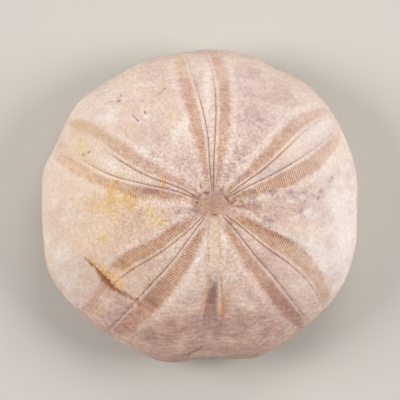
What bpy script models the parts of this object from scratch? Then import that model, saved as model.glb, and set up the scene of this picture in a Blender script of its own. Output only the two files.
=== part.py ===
"""Fossil sea urchin: a large, low, petalled sea urchin turned to limestone.

The fossil is one closed solid that lies on its underside. The origin is at the bottom
centre of its bounding box, +Y is the animal's front and +Z is up. Bearings are degrees
round the apex, clockwise from the front as seen from above. A reach of 0 is the apex
(or the mouth, on the underside) and a reach of 1 is the margin.
"""
import math

import bmesh
import bpy

MM = 0.001

# Overall size of the fossil
TEST_WIDTH = 90.0 * MM
TEST_LENGTH = 89.1 * MM
TEST_HEIGHT = 34.0 * MM
MARGIN_HEIGHT = 11.0 * MM
NODE_NAME = "fossil_sea_urchin"

# Distance from the apex to the margin in millimetres, as (bearing, distance)
MARGIN_OUTLINE = (
    (0, 44.6), (14, 44.1), (24, 42.9), (34, 43.4), (44, 43.2), (62, 42.0), (78, 41.2), (94, 40.5),
    (108, 41.8), (122, 42.8), (136, 43.0), (148, 43.1), (158, 44.1), (166, 44.8), (172, 43.9),
    (180, 43.3), (186, 43.7), (196, 46.3), (210, 46.7), (224, 47.7), (236, 49.0), (248, 50.0),
    (260, 48.8), (274, 48.6), (282, 49.1), (290, 48.0), (298, 47.8), (308, 48.1), (322, 46.2),
    (336, 45.6), (348, 44.5),
)

# Dome: how the height falls from the apex to the margin
DOME_FALL_POWER = 1.45
DOME_EDGE_POWER = 0.50
TOP_RELIEF_FADE_REACH = 0.93

# Bearings along the petals, read at these reaches from the apex
LINE_REACHES = (0.2, 0.4, 0.6, 0.8, 1.0)
# Each petal: edge of its first pore band, first pore row, second pore row, edge of its last band
PETALS = {
    "front": (
        (-15.5, -16.5, -15.6, -15.6, -15.0),
        (-6.3, -4.8, -6.3, -8.7, -10.5),
        (-0.3, 0.8, 1.3, 0.0, -3.0),
        (11.0, 12.3, 9.6, 6.5, 2.0),
    ),
    "front_right": (
        (42.0, 41.9, 41.5, 42.3, 49.0),
        (52.3, 53.2, 51.4, 50.2, 51.7),
        (59.3, 61.2, 61.0, 59.7, 57.5),
        (72.0, 75.2, 73.6, 68.6, 60.5),
    ),
    "rear_right": (
        (108.5, 112.8, 115.4, 120.3, 130.5),
        (127.3, 128.7, 127.7, 129.3, 133.5),
        (138.5, 140.2, 139.9, 140.6, 141.5),
        (153.0, 152.2, 149.8, 148.5, 145.5),
    ),
    "rear_left": (
        (197.2, 201.6, 206.2, 210.3, 215.0),
        (217.2, 216.8, 218.6, 219.2, 219.8),
        (225.8, 228.5, 231.8, 230.5, 227.2),
        (244.0, 241.3, 241.5, 235.0, 230.8),
    ),
    "front_left": (
        (280.5, 275.6, 279.6, 283.0, 287.5),
        (292.3, 288.2, 287.0, 289.3, 291.3),
        (298.6, 294.8, 296.1, 298.3, 298.3),
        (310.0, 305.6, 305.0, 305.0, 302.5),
    ),
}
# Columns of faces in the plain sector that follows each petal
SECTOR_COLUMNS = {"front": 8, "front_right": 8, "rear_left": 8, "front_left": 8}

# Relief of the petals
PETAL_START_REACH = 0.08
PETAL_FULL_REACH = 0.18
PETAL_END_REACH = 0.90
BAND_SINK = 0.15 * MM
PORE_ROW_SINK = 0.40 * MM
PORE_ROW_HALF_WIDTH = 0.55 * MM
BAND_EDGE_WIDTH = 0.60 * MM

# Groove behind the apex: the guide lines along its lips, floor edges and middle
GROOVE_LINES = (
    (174.0, 173.0, 174.5, 171.5, 170.0),
    (177.5, 177.5, 177.7, 176.5, 175.5),
    (180.0, 180.0, 181.0, 181.0, 180.5),
    (182.0, 182.3, 185.0, 185.0, 185.5),
    (185.0, 185.0, 187.5, 188.5, 191.0),
)
GROOVE_SIDE_COLUMNS = 3
# Groove sections in millimetres, at these distances behind the apex
GROOVE_STATIONS = (17.0, 20.0, 23.0, 27.0, 31.0, 35.0, 40.0, 46.0)
GROOVE_LEFT_SHIFT = (0.0, 0.0, 0.2, 0.5, 0.9, 0.7, 0.3, 0.0)
GROOVE_FLOOR_HALF_WIDTH = (0.2, 0.8, 1.2, 1.6, 1.8, 2.0, 2.5, 3.0)
GROOVE_LIP_HALF_WIDTH = (1.8, 2.2, 2.4, 2.9, 3.4, 5.0, 7.0, 8.0)
GROOVE_DEPTH = (0.0, 0.7, 1.4, 1.6, 1.2, 0.8, 0.55, 0.5)

# Broken block of the left rear margin, sunk along a crack: (bearing, distance from the apex)
# of the crack's foot, with the broken face sloping down to it
CRACK_LINE = (
    (206, 33.6), (210, 32.2), (216, 32.6), (220, 34.6),
    (226, 35.3), (232, 36.8), (240, 37.4), (248, 39.2),
)
CRACK_DROP = 0.8 * MM
CRACK_FACE_WIDTH = 2.8 * MM
CRACK_END_FADE = 3.0

# Underside: mouth, dished middle, five furrows and the cushions between them that it rests on
MOUTH_X = 2.0 * MM
MOUTH_Y = 2.5 * MM
REST_REACH = 0.74
DISH_HEIGHT = 2.4 * MM
REST_WEAR = 0.30 * MM
FURROW_DEPTH = 0.9 * MM
FURROW_HALF_WIDTH = 2.6 * MM
BASE_RELIEF_FADE_REACH = 0.80
MOUTH_DEPTH = 3.6 * MM
MOUTH_INNER_RADIUS = 2.6 * MM
MOUTH_OUTER_RADIUS = 6.4 * MM
LIP_SWELL = 0.9 * MM
LIP_RADIUS = 8.0 * MM
LIP_SPREAD = 2.2 * MM

# Rings of faces
TOP_RINGS = 27
BASE_RINGS = 17

SMOOTH_BELOW_ANGLE = math.radians(50)
STONE_COLOUR = (0.62, 0.45, 0.35, 1.0)
STONE_ROUGHNESS = 0.8


def ease(start, end, value):
    """0 before start, 1 after end, and a smooth rise between them."""
    share = min(1.0, max(0.0, (value - start) / (end - start)))
    return share * share * (3.0 - 2.0 * share)


def curve_value(points, position):
    """Height at a position of the smooth curve through (position, height) points."""
    last = len(points) - 1
    position = min(points[last][0], max(points[0][0], position))
    piece = 0
    while piece < last - 1 and points[piece + 1][0] < position:
        piece += 1
    (x0, y0), (x1, y1) = points[piece], points[piece + 1]
    xa, ya = points[max(piece - 1, 0)]
    xb, yb = points[min(piece + 2, last)]
    slope0 = (y1 - ya) / (x1 - xa)
    slope1 = (yb - y0) / (xb - x0)
    span = x1 - x0
    t = (position - x0) / span
    start_part = (2 * t**3 - 3 * t**2 + 1) * y0 + (t**3 - 2 * t**2 + t) * span * slope0
    end_part = (3 * t**2 - 2 * t**3) * y1 + (t**3 - t**2) * span * slope1
    return start_part + end_part


def station_value(stations, values, position):
    """The smooth value at a position, from values given at stations."""
    return curve_value(list(zip(stations, values)), position)


def margin_distance(bearing):
    """Distance from the apex to the margin at a bearing, with the outline closed on itself."""
    before = [(angle - 360, distance) for angle, distance in MARGIN_OUTLINE[-2:]]
    after = [(angle + 360, distance) for angle, distance in MARGIN_OUTLINE[:2]]
    return curve_value(before + list(MARGIN_OUTLINE) + after, bearing % 360) * MM


def line_bearing(line, reach):
    """Bearing of a guide line at a reach from the apex."""
    return station_value(LINE_REACHES, line, reach)


def column_guides():
    """Guide lines round the test, as (line, sideways shift, plain columns before the next guide)."""
    guides = []
    for name, (first_edge, first_row, last_row, last_edge) in PETALS.items():
        guides.append((first_edge, -BAND_EDGE_WIDTH, 0))
        guides.append((first_edge, 0.0, 1))
        for row in (first_row, last_row):
            guides.append((row, -PORE_ROW_HALF_WIDTH, 0))
            guides.append((row, 0.0, 0))
            guides.append((row, PORE_ROW_HALF_WIDTH, 1))
        guides.append((last_edge, 0.0, 0))
        if name == "rear_right":
            guides.append((last_edge, BAND_EDGE_WIDTH, GROOVE_SIDE_COLUMNS))
            for line in GROOVE_LINES[:-1]:
                guides.append((line, 0.0, 0))
            guides.append((GROOVE_LINES[-1], 0.0, GROOVE_SIDE_COLUMNS))
        else:
            guides.append((last_edge, BAND_EDGE_WIDTH, SECTOR_COLUMNS[name]))
    return guides


def guide_bearing(guide, reach):
    """Bearing of a guide line, moved sideways by its shift, which shrinks near the apex."""
    line, shift, _ = guide
    bearing = line_bearing(line, reach)
    distance = max(reach, LINE_REACHES[0]) * margin_distance(bearing)
    return bearing + math.degrees(shift / distance)


def column_plan(guides):
    """Every column of vertices, as (guide before it, guide after it, share between them)."""
    plan = []
    for place, guide in enumerate(guides):
        following = guides[(place + 1) % len(guides)]
        steps = guide[2] + 1
        for step in range(steps):
            plan.append((guide, following, step / steps))
    return plan


def column_bearing(column, reach):
    """Bearing of a column of vertices at a reach from the apex."""
    guide, following, share = column
    start = guide_bearing(guide, reach)
    end = guide_bearing(following, reach)
    if end < start:
        end += 360
    return start + (end - start) * share


def petal_sink(bearing, reach, distance):
    """Depth of the pore bands and pore rows below the plain surface."""
    for first_edge, first_row, last_row, last_edge in PETALS.values():
        edges = (line_bearing(first_edge, reach), line_bearing(last_edge, reach))
        middle = sum(edges) / 2
        angle = middle + (bearing - middle + 180) % 360 - 180
        rows = (line_bearing(first_row, reach), line_bearing(last_row, reach))
        edge_width = math.degrees(BAND_EDGE_WIDTH / distance)
        if angle < edges[0] - edge_width or angle > edges[1] + edge_width:
            continue
        row_width = math.degrees(PORE_ROW_HALF_WIDTH / distance)
        row_gap = min(abs(angle - rows[0]), abs(angle - rows[1]))
        row_share = 1.0 - ease(0.0, row_width, row_gap)
        in_band = edges[0] <= angle <= rows[0] or rows[1] <= angle <= edges[1]
        sink = BAND_SINK if in_band else 0.0
        sink += (PORE_ROW_SINK - sink) * row_share
        ends = ease(PETAL_START_REACH, PETAL_FULL_REACH, reach) * (1.0 - ease(PETAL_END_REACH, 1.0, reach))
        return sink * ends
    return 0.0


def groove_sink(behind, left):
    """Depth of the rear groove at a place given by its distance behind and left of the apex."""
    if behind <= GROOVE_STATIONS[0]:
        return 0.0
    shift = station_value(GROOVE_STATIONS, GROOVE_LEFT_SHIFT, behind)
    floor_half = station_value(GROOVE_STATIONS, GROOVE_FLOOR_HALF_WIDTH, behind)
    lip_half = station_value(GROOVE_STATIONS, GROOVE_LIP_HALF_WIDTH, behind)
    depth = station_value(GROOVE_STATIONS, GROOVE_DEPTH, behind)
    return depth * (1.0 - ease(floor_half, lip_half, abs(left - shift))) * MM


def crack_sink(bearing, distance):
    """Drop of the broken block outside the crack in the left rear margin."""
    first, last = CRACK_LINE[0][0], CRACK_LINE[-1][0]
    along = ease(first - CRACK_END_FADE, first, bearing) * (1.0 - ease(last, last + CRACK_END_FADE, bearing))
    crack_distance = curve_value(CRACK_LINE, bearing) * MM
    return CRACK_DROP * along * ease(-CRACK_FACE_WIDTH, 0.0, distance - crack_distance)


def upper_point(column, reach):
    """A point of the upper side, measured from the apex."""
    bearing = column_bearing(column, reach) % 360
    distance = reach * margin_distance(bearing)
    x = distance * math.sin(math.radians(bearing))
    y = distance * math.cos(math.radians(bearing))
    fall = (1.0 - reach**DOME_FALL_POWER) ** DOME_EDGE_POWER
    z = MARGIN_HEIGHT + (TEST_HEIGHT - MARGIN_HEIGHT) * fall
    edge_fade = 1.0 - ease(TOP_RELIEF_FADE_REACH, 1.0, reach)
    if reach > 0.0:
        z -= petal_sink(bearing, reach, distance)
        z -= groove_sink(-y / MM, -x / MM) * edge_fade
        z -= crack_sink(bearing, distance) * edge_fade
    return x, y, z


def petal_tips():
    """Where the middles of the petals cross the margin, measured from the apex."""
    tips = []
    for _, first_row, last_row, _ in PETALS.values():
        bearing = (first_row[-1] + last_row[-1]) / 2
        distance = margin_distance(bearing)
        tips.append((distance * math.sin(math.radians(bearing)), distance * math.cos(math.radians(bearing))))
    return tips


def furrow_share(x, y, tips):
    """How far a place on the underside lies in one of the five furrows, from 0 to 1."""
    share = 0.0
    for tip_x, tip_y in tips:
        along_x, along_y = tip_x - MOUTH_X, tip_y - MOUTH_Y
        length = math.hypot(along_x, along_y)
        ahead = ((x - MOUTH_X) * along_x + (y - MOUTH_Y) * along_y) / length
        aside = ((x - MOUTH_X) * along_y - (y - MOUTH_Y) * along_x) / length
        if ahead > 0.0:
            share = max(share, math.exp(-((aside / FURROW_HALF_WIDTH) ** 2)))
    return share


def lower_point(column, reach, tips):
    """A point of the underside, measured from the apex, with the worn rests cut flat."""
    rim_x, rim_y, _ = upper_point(column, 1.0)
    x = MOUTH_X + (rim_x - MOUTH_X) * reach
    y = MOUTH_Y + (rim_y - MOUTH_Y) * reach
    if reach > REST_REACH:
        outward = (reach - REST_REACH) / (1.0 - REST_REACH)
        z = MARGIN_HEIGHT * (1.0 - math.sqrt(max(0.0, 1.0 - outward**2)))
    else:
        z = DISH_HEIGHT * (1.0 - (reach / REST_REACH) ** 2) ** 2
    furrow = furrow_share(x, y, tips)
    from_mouth = math.hypot(x - MOUTH_X, y - MOUTH_Y)
    inside_margin = 1.0 - ease(BASE_RELIEF_FADE_REACH, 1.0, reach)
    z += FURROW_DEPTH * furrow * inside_margin
    z += MOUTH_DEPTH * (1.0 - ease(MOUTH_INNER_RADIUS, MOUTH_OUTER_RADIUS, from_mouth))
    z -= LIP_SWELL * (1.0 - furrow) * math.exp(-(((from_mouth - LIP_RADIUS) / LIP_SPREAD) ** 2))
    z -= REST_WEAR * inside_margin
    return x, y, max(0.0, z)


def shape_test(bm, columns):
    """Move a sphere's vertices onto the test, ring by ring from the apex to the mouth."""
    rings = TOP_RINGS + BASE_RINGS
    tips = petal_tips()
    for vert in bm.verts:
        turn = math.atan2(vert.co.x, vert.co.y) / math.tau
        column = columns[round(turn * len(columns)) % len(columns)]
        ring = round(math.acos(max(-1.0, min(1.0, vert.co.z))) / math.pi * rings)
        if ring <= TOP_RINGS:
            reach = math.sin(math.pi / 2 * ring / TOP_RINGS)
            vert.co = upper_point(column, reach)
        else:
            reach = 1.0 - ease(TOP_RINGS, rings, ring)
            vert.co = lower_point(column, reach, tips)


def fit_to_size(bm):
    """Give the solid its exact width, length and height, with its bottom centre at the origin."""
    lows = [min(vert.co[axis] for vert in bm.verts) for axis in range(3)]
    highs = [max(vert.co[axis] for vert in bm.verts) for axis in range(3)]
    middle_bottom = ((lows[0] + highs[0]) / 2, (lows[1] + highs[1]) / 2, lows[2])
    sizes = (TEST_WIDTH, TEST_LENGTH, TEST_HEIGHT)
    factors = [size / (high - low) for size, low, high in zip(sizes, lows, highs)]
    bmesh.ops.translate(bm, verts=bm.verts, vec=[-value for value in middle_bottom])
    bmesh.ops.scale(bm, verts=bm.verts, vec=factors)


def make_stone():
    """Matt cream-pink limestone."""
    stone = bpy.data.materials.new("fossil_limestone")
    stone.use_nodes = True
    shader = stone.node_tree.nodes["Principled BSDF"]
    shader.inputs["Base Color"].default_value = STONE_COLOUR
    shader.inputs["Roughness"].default_value = STONE_ROUGHNESS
    shader.inputs["Metallic"].default_value = 0.0
    return stone


def make_fossil():
    """The whole fossil as one closed solid."""
    columns = column_plan(column_guides())
    bm = bmesh.new()
    bmesh.ops.create_uvsphere(bm, u_segments=len(columns), v_segments=TOP_RINGS + BASE_RINGS, radius=1.0)
    shape_test(bm, columns)
    fit_to_size(bm)
    bmesh.ops.recalc_face_normals(bm, faces=bm.faces)
    mesh = bpy.data.meshes.new(NODE_NAME)
    bm.to_mesh(mesh)
    bm.free()
    mesh.shade_smooth()
    mesh.set_sharp_from_angle(angle=SMOOTH_BELOW_ANGLE)
    fossil = bpy.data.objects.new(NODE_NAME, mesh)
    fossil.data.materials.append(make_stone())
    bpy.context.scene.collection.objects.link(fossil)
    return fossil


def clear_scene():
    """Remove every object that the file opened with."""
    for existing in list(bpy.data.objects):
        bpy.data.objects.remove(existing, do_unlink=True)


def main():
    clear_scene()
    make_fossil()


main()
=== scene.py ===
import math

import bpy
import numpy as np
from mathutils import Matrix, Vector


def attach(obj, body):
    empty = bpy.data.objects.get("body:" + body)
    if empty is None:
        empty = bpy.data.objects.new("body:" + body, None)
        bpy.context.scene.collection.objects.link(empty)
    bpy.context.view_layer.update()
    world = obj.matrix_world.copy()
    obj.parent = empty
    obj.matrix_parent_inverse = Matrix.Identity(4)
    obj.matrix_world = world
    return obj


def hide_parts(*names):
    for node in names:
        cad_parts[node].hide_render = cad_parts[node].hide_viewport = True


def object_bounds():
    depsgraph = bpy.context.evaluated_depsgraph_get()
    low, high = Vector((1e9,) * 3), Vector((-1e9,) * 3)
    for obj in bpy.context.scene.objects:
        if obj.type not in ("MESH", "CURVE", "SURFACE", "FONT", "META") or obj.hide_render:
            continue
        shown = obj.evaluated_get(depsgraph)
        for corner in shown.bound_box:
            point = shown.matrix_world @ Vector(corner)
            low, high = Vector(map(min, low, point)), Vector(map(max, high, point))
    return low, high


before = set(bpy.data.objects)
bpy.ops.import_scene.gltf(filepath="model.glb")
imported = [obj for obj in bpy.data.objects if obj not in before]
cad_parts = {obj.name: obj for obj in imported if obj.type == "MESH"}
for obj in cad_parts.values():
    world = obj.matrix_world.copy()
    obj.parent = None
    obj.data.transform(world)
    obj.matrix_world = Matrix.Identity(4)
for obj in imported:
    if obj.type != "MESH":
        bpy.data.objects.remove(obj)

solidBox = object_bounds()

# Sizes are in millimetres unless a name says otherwise. Bearings are degrees round the
# apex, clockwise from the front petal. A reach runs from 0 at the apex to 1 at the margin.
millimetre = 0.001


def say(stage):
    print("fossil sea urchin:", stage)


def hexToLinear(code):
    parts = [int(code[start:start + 2], 16) / 255 for start in (1, 3, 5)]
    return tuple(p / 12.92 if p <= 0.04045 else ((p + 0.055) / 1.055) ** 2.4 for p in parts) + (1.0,)


# 0 up to the start, 1 from the end on, smooth between
def ease(start, end, value):
    share = np.clip((value - start) / (end - start), 0.0, 1.0)
    return share * share * (3.0 - 2.0 * share)


# the same from a least share instead of 0
def grow(start, end, least, value):
    return least + (1 - least) * ease(start, end, value)


# 1 up to the start, less this loss from the end on
def fade(start, end, loss, value):
    return 1 - loss * ease(start, end, value)


# 1 between a rise and a fall, each given as where it starts and ends
def between(rise, fall, value):
    return ease(*rise, value) * (1 - ease(*fall, value))


# 1 at zero, dying away over this width to both sides
def bell(width, value):
    return np.exp(-(value / width) ** 2)


# smooth curve through given heights, flat past its ends
def smoothCurve(places, heights, at):
    places = np.asarray(places, float)
    heights = np.asarray(heights, float)
    at = np.clip(at, places[0], places[-1])
    slopes = np.empty_like(heights)
    slopes[1:-1] = (heights[2:] - heights[:-2]) / (places[2:] - places[:-2])
    slopes[0] = (heights[1] - heights[0]) / (places[1] - places[0])
    slopes[-1] = (heights[-1] - heights[-2]) / (places[-1] - places[-2])
    piece = np.clip(np.searchsorted(places, at, side="right") - 1, 0, len(places) - 2)
    span = places[piece + 1] - places[piece]
    t = (at - places[piece]) / span
    start = (2 * t**3 - 3 * t**2 + 1) * heights[piece] + (t**3 - 2 * t**2 + t) * span * slopes[piece]
    end = (3 * t**2 - 2 * t**3) * heights[piece + 1] + (t**3 - t**2) * span * slopes[piece + 1]
    return start + end


def nothingSelected():
    if bpy.context.mode != "OBJECT":
        bpy.ops.object.mode_set(mode="OBJECT")
    bpy.ops.object.select_all(action="DESELECT")


test = {
    "topRings": 236,           # rings of faces from the apex to the margin
    "baseRings": 74,           # and from the margin to the mouth
    "height": 34.0,
    "marginHeight": 11.0,      # the widest level
    "fallPower": 1.45,         # how the dome falls
    "edgePower": 0.50,
    "fineSteps": 4000,         # for measuring along the dome
    "nearest": 0.5,            # closer to the apex than this, angles count as at this distance
    "rimEdge": (0.95, 1.0, 1.0),           # a fade: the groove and the break run out here
    "innerReaches": (0.10, 0.95),          # grain and pits thin out between these
    "rippledBehind": (20.0, 32.0),         # folds begin, behind the apex and ahead of it
    "rippledAhead": (22.0, 34.0),
    "rippleShareAhead": 0.45,
    "bandColumns": 9,          # columns of faces across a pore band
    "middleColumns": 7,        # and between a petal's two pore rows
    "sectorColumns": 25,       # and between one petal and the next
    "grooveSideColumns": 10,
    # apex to margin by bearing
    "outline": (
        (0, 44.6), (14, 44.1), (24, 42.9), (34, 43.4), (44, 43.2), (62, 42.0), (78, 41.2), (94, 40.5),
        (108, 41.8), (122, 42.8), (136, 43.0), (148, 43.1), (158, 44.1), (166, 44.8), (172, 43.9),
        (180, 43.3), (186, 43.7), (196, 46.3), (210, 46.7), (224, 47.7), (236, 49.0), (248, 50.0),
        (260, 48.8), (274, 48.6), (282, 49.1), (290, 48.0), (298, 47.8), (308, 48.1), (322, 46.2),
        (336, 45.6), (348, 44.5),
    ),
}

# A petal is a pale middle between two pore rows, with a pore band outside each row.
# Four lines for each: band edge, pore row, pore row, band edge, as bearings at these reaches.
petals = {
    "reaches": (0.2, 0.4, 0.6, 0.8, 1.0),
    "lines": {
        "front": (
            (-15.5, -16.5, -15.6, -15.6, -15.0),
            (-6.3, -4.8, -6.3, -8.7, -10.5),
            (-0.3, 0.8, 1.3, 0.0, -3.0),
            (11.0, 12.3, 9.6, 6.5, 2.0),
        ),
        "frontRight": (
            (42.0, 41.9, 41.5, 42.3, 49.0),
            (52.3, 53.2, 51.4, 50.2, 51.7),
            (59.3, 61.2, 61.0, 59.7, 57.5),
            (72.0, 75.2, 73.6, 68.6, 60.5),
        ),
        "rearRight": (
            (108.5, 112.8, 115.4, 120.3, 130.5),
            (127.3, 128.7, 127.7, 129.3, 133.5),
            (138.5, 140.2, 139.9, 140.6, 141.5),
            (153.0, 152.2, 149.8, 148.5, 145.5),
        ),
        "rearLeft": (
            (197.2, 201.6, 206.2, 210.3, 215.0),
            (217.2, 216.8, 218.6, 219.2, 219.8),
            (225.8, 228.5, 231.8, 230.5, 227.2),
            (244.0, 241.3, 241.5, 235.0, 230.8),
        ),
        "frontLeft": (
            (280.5, 275.6, 279.6, 283.0, 287.5),
            (292.3, 288.2, 287.0, 289.3, 291.3),
            (298.6, 294.8, 296.1, 298.3, 298.3),
            (310.0, 305.6, 305.0, 305.0, 302.5),
        ),
    },
    # reaches between which each begins or fades, and what share the fade takes
    "rowStart": (0.06, 0.12),
    "bandStart": (0.08, 0.18),
    "slitStart": (0.10, 0.22),
    "slitFade": (0.62, 0.90, 0.75),
    "ridgeFade": (0.68, 0.92, 0.55),
    "rimFade": (0.93, 1.02, 1.0),
    "rowEndFade": (-0.12, 0.04, 0.85),     # about each row's own end
    "leastSpread": 0.5,        # share of the guide lines' sideways shifts left at the apex
    "edgeWidth": 0.6,          # band edge to the plain test outside it
    "bandEdges": ((-0.25, 0.35), (-0.3, 0.4)),     # how the band's inner and outer edges sink
    "bandDepth": 0.10,
    "rowWidth": 0.26,          # half width of a pore row's furrow
    "rowWidens": (4.0, 14.0, 0.6),         # distances from the apex, and the share it starts from
    "rowDepth": 0.18,
    "ridgeNearApex": 0.45,     # pale ridge between a row and its band
    "ridgeGrowth": 0.022,      # ridge width added for each millimetre from the apex
    "ridgePlace": 0.65,        # its crest and spread, in ridge widths from the row
    "ridgeSpread": 0.4,
    "ridgeHeight": 0.05,
    "slitDepth": 0.07,
    "ringsPerSlit": 3,         # 0.65 mm from slit to slit
    "slitEnds": 0.10,          # how unevenly the slits end
    "slitSeed": 11,
    "edgeWander": (0.12, 0.08, 0.05),      # and how the whole edge wanders, long waves to short
    "edgeWaves": (7.0, 2.9, 1.3),          # in rings
    "bandStagger": 1.7,        # shifts the waves from band to band
    "middleSwell": 0.12,
    "middleEdge": (0.0, 1.5),
    # the bands' and rows' colours: their edges, and how they fade outwards
    "tintEdges": ((-0.5, 0.6), (-0.9, 0.8)),
    "tintFade": (0.60, 0.95, 0.25),
    "rowTintFade": (0.55, 0.85, 0.45),
    "haloPlace": 1.3,          # pale halo outside the band's edge
    "haloSpread": 0.9,
    # where each pore row ends, and how strongly each band and its slits are coloured
    "rowEnds": (1.10, 1.10, 1.10, 1.10, 1.10, 1.10, 1.10, 1.10, 0.86, 0.72),
    "bandTones": (0.80, 0.88, 0.88, 0.86, 1.00, 0.76, 0.92, 0.88, 0.80, 0.62),
    "slitTones": (0.68, 0.50, 0.82, 0.95, 0.95, 0.78, 0.93, 0.90, 0.60, 0.55),
}

groove = {
    # guide lines along its lips, floor edges and middle, at the petals' reaches
    "lines": (
        (174.0, 172.6, 174.0, 174.5, 172.0),
        (177.5, 177.5, 177.0, 177.0, 176.5),
        (180.0, 180.0, 180.5, 181.0, 180.5),
        (181.5, 182.0, 183.5, 184.0, 184.0),
        (184.0, 183.7, 185.5, 187.0, 189.0),
    ),
    "lipShifts": (-0.45, 0.0, 0.45),
    "columnsBetween": 3,
    "behind": (17.0, 20.0, 23.0, 27.0, 31.0, 35.0, 40.0, 46.0),      # from the apex
    "shiftLeft": (0.0, 0.0, 0.2, 0.5, 0.9, 0.7, 0.3, 0.0),
    "floorHalf": (0.2, 0.8, 1.2, 1.6, 1.8, 2.0, 2.5, 3.0),
    "lipHalf": (1.8, 2.2, 2.4, 2.9, 3.4, 5.0, 7.0, 8.0),
    "depth": (0.0, 0.7, 1.4, 1.6, 1.2, 0.8, 0.55, 0.5),
    # coloured parts, right of the apex, at these distances behind it
    "paintBehind": (17.0, 19.0, 22.0, 24.0, 27.0, 29.0, 31.5, 34.0),
    "rightLip": (2.1, 2.15, 2.2, 2.35, 2.6, 2.7, 2.6, 2.4),
    "leftLip": (-1.2, -1.3, -1.7, -2.0, -2.6, -3.1, -3.5, -3.8),
    "floorRight": (0.5, 0.6, 0.8, 0.8, 0.7, 0.8, 1.2, 2.4),
    "floorLeft": (0.1, 0.0, -0.4, -1.2, -1.9, -2.1, -2.6, -3.2),
    "lineHalf": 0.52,
    "leftLineWidening": 1.3,
    "leftLineTone": 0.6,
    "rightLineBrightens": (27, 31, 0.75),          # from this share
    "linesBehind": ((17.5, 19.5), (31.0, 32.5)),   # where the coloured parts begin and end
    "floorBehind": ((18.0, 25.0), (34.0, 41.0)),
    "floorFade": (26.5, 32.0, 0.45),
    "floorEdge": (-0.9, 0.8),
}

# the pale strip from the apex back to the groove
strip = {
    "half": (0.5, 2.1),
    "behind": ((2.0, 4.5), (17.5, 20.0)),
    "edgeAside": 1.6,
    "edgeSpread": 0.3,
    "edgeBehind": ((4.0, 7.0), (17.0, 19.0)),
    "sway": 0.2,
    "swayPace": 0.8,
    "innerLoss": 0.6,          # grain and pits missing on it
}

# the break across the left rear margin, by bearing: its foot, how wide the broken face is,
# how far the block outside has dropped, and how far a dark notch reaches out from the foot
crack = {
    "line": (
        (206, 33.6), (208, 32.8), (213, 32.2), (216.5, 32.5), (219, 34.6), (224, 34.9), (228, 35.8),
        (231, 36.7), (234.5, 36.7), (238.3, 37.2), (242.2, 37.5), (247.4, 38.9), (249, 39.4),
    ),
    "bearings": (206.0, 218.0, 226.0, 229.0, 232.0, 237.5, 243.0, 247.5),
    "faceWidth": (0.3, 0.4, 0.9, 3.0, 3.4, 3.0, 2.0, 0.4),
    "drop": (0.10, 0.12, 0.25, 0.75, 0.85, 0.85, 0.70, 0.30),
    "notch": (0.0, 0.0, 0.3, 1.3, 1.9, 1.7, 0.5, 0.0),
    "notchDepth": 0.25,
    "endFade": 1.2,
    "wobble": ((0.18, 2.3, 0.0), (0.12, 5.1, 1.0), (0.08, 11.7, 0.0)),     # size, pace, start
    "faceFoot": 0.3,           # the face runs this far past its foot
    # distances outside the foot, or the top of the face, where each begins and ends
    "blockEdge": (-0.5, 0.5),
    "worn": ((-5.6, -3.8), (-0.4, 0.5)),
    "notchStart": (-0.4, 0.1),
    "notchEnd": (0.3, 1.0),    # in notch reaches
    "lumpStart": (-0.4, 0.2),
    "lumpEnd": (-0.2, 0.2),
    "blockBearing": 222,       # where the block begins
    "rowLoss": 0.6,            # of the pore rows on the block
    "slitLoss": 0.85,          # and of the slits on the worn strip beside the break
    # lumps on the broken face
    "lumpHeight": 0.06,
    "lumpPaces": ((8.3, 3.1), (-4.9, 6.7)),        # waves along and across it
    "lumpGrit": 0.6,
    "lumpSeed": 5,
    "lumpBearings": (226, 230),
    # colours of the face and its foot, and the painted shadow in the gap
    "stainStart": (-1.8, 1.2),
    "stainEnd": (-0.3, 0.4),
    "stainBearings": (225, 230, 0.3),      # brightens from this share
    "foot": ((-1.0, -0.1), (0.0, 0.9)),
    "footBearings": (227, 231),
    "footFade": (237, 242, 0.5),
    "gapPlace": 0.1,
    "gapSpread": 0.34,
    "gapTone": 0.9,
    "gapBearings": (225, 230, 0.35 / 0.9),
    "tintLoss": 0.7,           # of the bands' colour on the worn strip
    "blockTintLoss": 0.1,      # and on the block
}

apex = {
    "knob": (0.5, -1.7),       # right and forward of the apex
    "knobWidth": 1.1,
    "knobHeight": 0.45,
    "discWidth": 2.6,
    "discDepth": 0.15,
}

underside = {
    "mouth": (2.0, 2.5),       # from the apex, to the right and forward
    "restReach": 0.74,
    "dishHeight": 2.4,
    "restWear": 0.30,
    "furrowDepth": 0.9,
    "furrowHalf": 2.6,
    "fadeReach": 0.80,
    "mouthDepth": 3.6,
    "mouthInner": 2.6,
    "mouthOuter": 6.4,
    "lipSwell": 0.9,
    "lipRadius": 8.0,
    "lipSpread": 2.2,
    "furrowSilt": 0.8,
}


def marginDistance(bearing):
    outline = test["outline"]
    closed = [(b - 360, d) for b, d in outline[-2:]] + list(outline)
    closed += [(b + 360, d) for b, d in outline[:2]]
    places, distances = zip(*closed)
    return smoothCurve(places, distances, np.asarray(bearing) % 360)


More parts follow.
